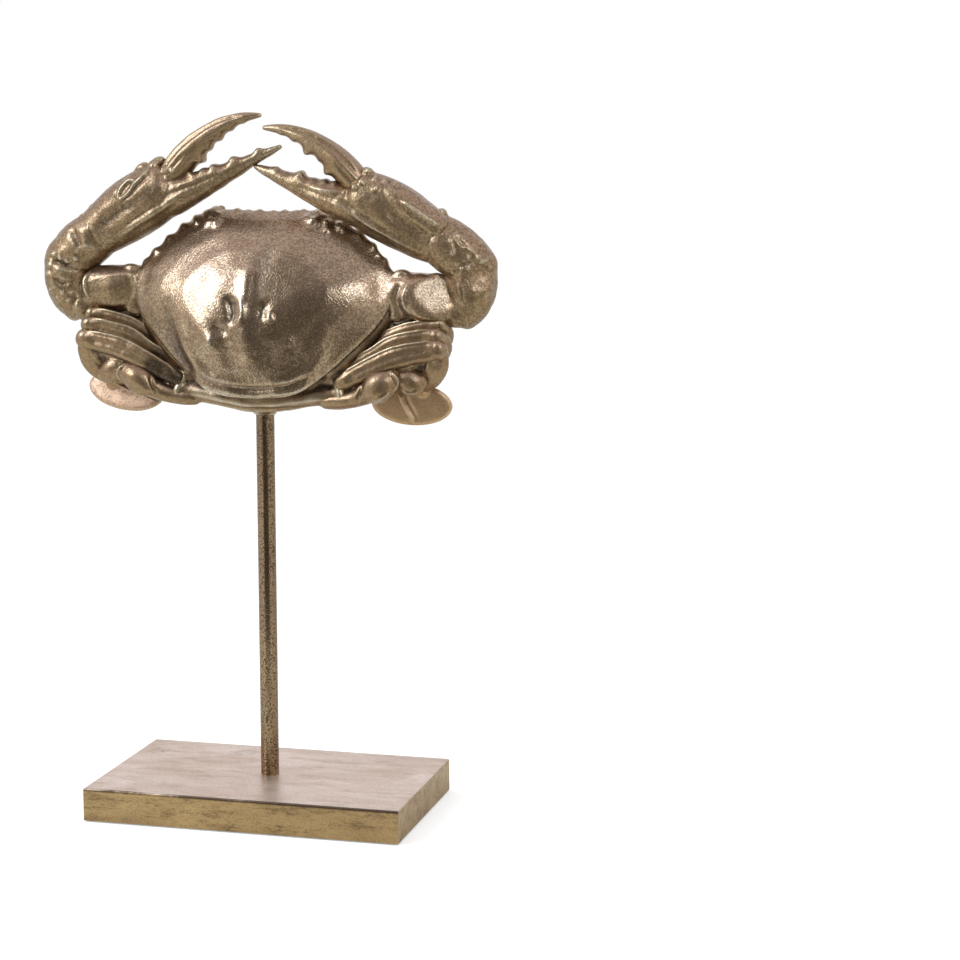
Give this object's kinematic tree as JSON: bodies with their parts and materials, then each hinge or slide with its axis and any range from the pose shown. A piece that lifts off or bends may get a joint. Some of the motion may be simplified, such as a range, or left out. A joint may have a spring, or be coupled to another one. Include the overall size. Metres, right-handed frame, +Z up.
{
  "type": "crab figurine",
  "caption": "Cast crab ornament with raised claws and folded legs, turning on a round rod that stands on a flat rectangular base.",
  "frame": {"origin": "middle of the underside, where the figurine stands", "axes": "+Z up along the rod, +X to the right of a viewer who faces the crab's back, -Y towards that viewer"},
  "size_m": [0.3634, 0.15, 0.5379],
  "materials": {
    "cast": "cast resin with an antique gold leaf finish, darker in the hollows",
    "base": "board with an antique gold finish, worn darker at the edges",
    "rod": "steel tube with an antique gold finish",
    "hardware": "plain steel",
    "bush": "turned brass",
    "felt": "thin black felt"
  },
  "bodies": {
    "stand": {"base_block": "base", "felt_sheet": "felt", "base_screw": "hardware", "base_washer": "hardware", "support_rod": "rod", "rod_foot_nut": "hardware", "rod_head_spigot": "hardware"},
    "crab": {"crab_bush": "bush", "thorax": "cast", "carapace": "cast", "abdomen_flap": "cast", "right_eye": "cast", "left_eye": "cast", "right_claw_arm": "cast", "right_claw_wrist": "cast", "right_claw_palm": "cast", "right_claw_finger": "cast", "right_front_leg": "cast", "right_middle_leg": "cast", "right_rear_leg": "cast", "right_front_shin": "cast", "right_middle_shin": "cast", "right_rear_shin": "cast", "right_swim_thigh": "cast", "right_swim_wrist": "cast", "right_swim_paddle": "cast", "left_claw_arm": "cast", "left_claw_wrist": "cast", "left_claw_palm": "cast", "left_claw_finger": "cast", "left_front_leg": "cast", "left_middle_leg": "cast", "left_rear_leg": "cast", "left_front_shin": "cast", "left_middle_shin": "cast", "left_rear_shin": "cast", "left_swim_thigh": "cast", "left_swim_wrist": "cast", "left_swim_paddle": "cast"}
  },
  "joints": [
    {"name": "crab_swivel", "type": "hinge", "parent": "stand", "child": "crab", "pos_m": [0, 0, 0.312], "axis": [0, 0, 1], "continuous": true}
  ]
}
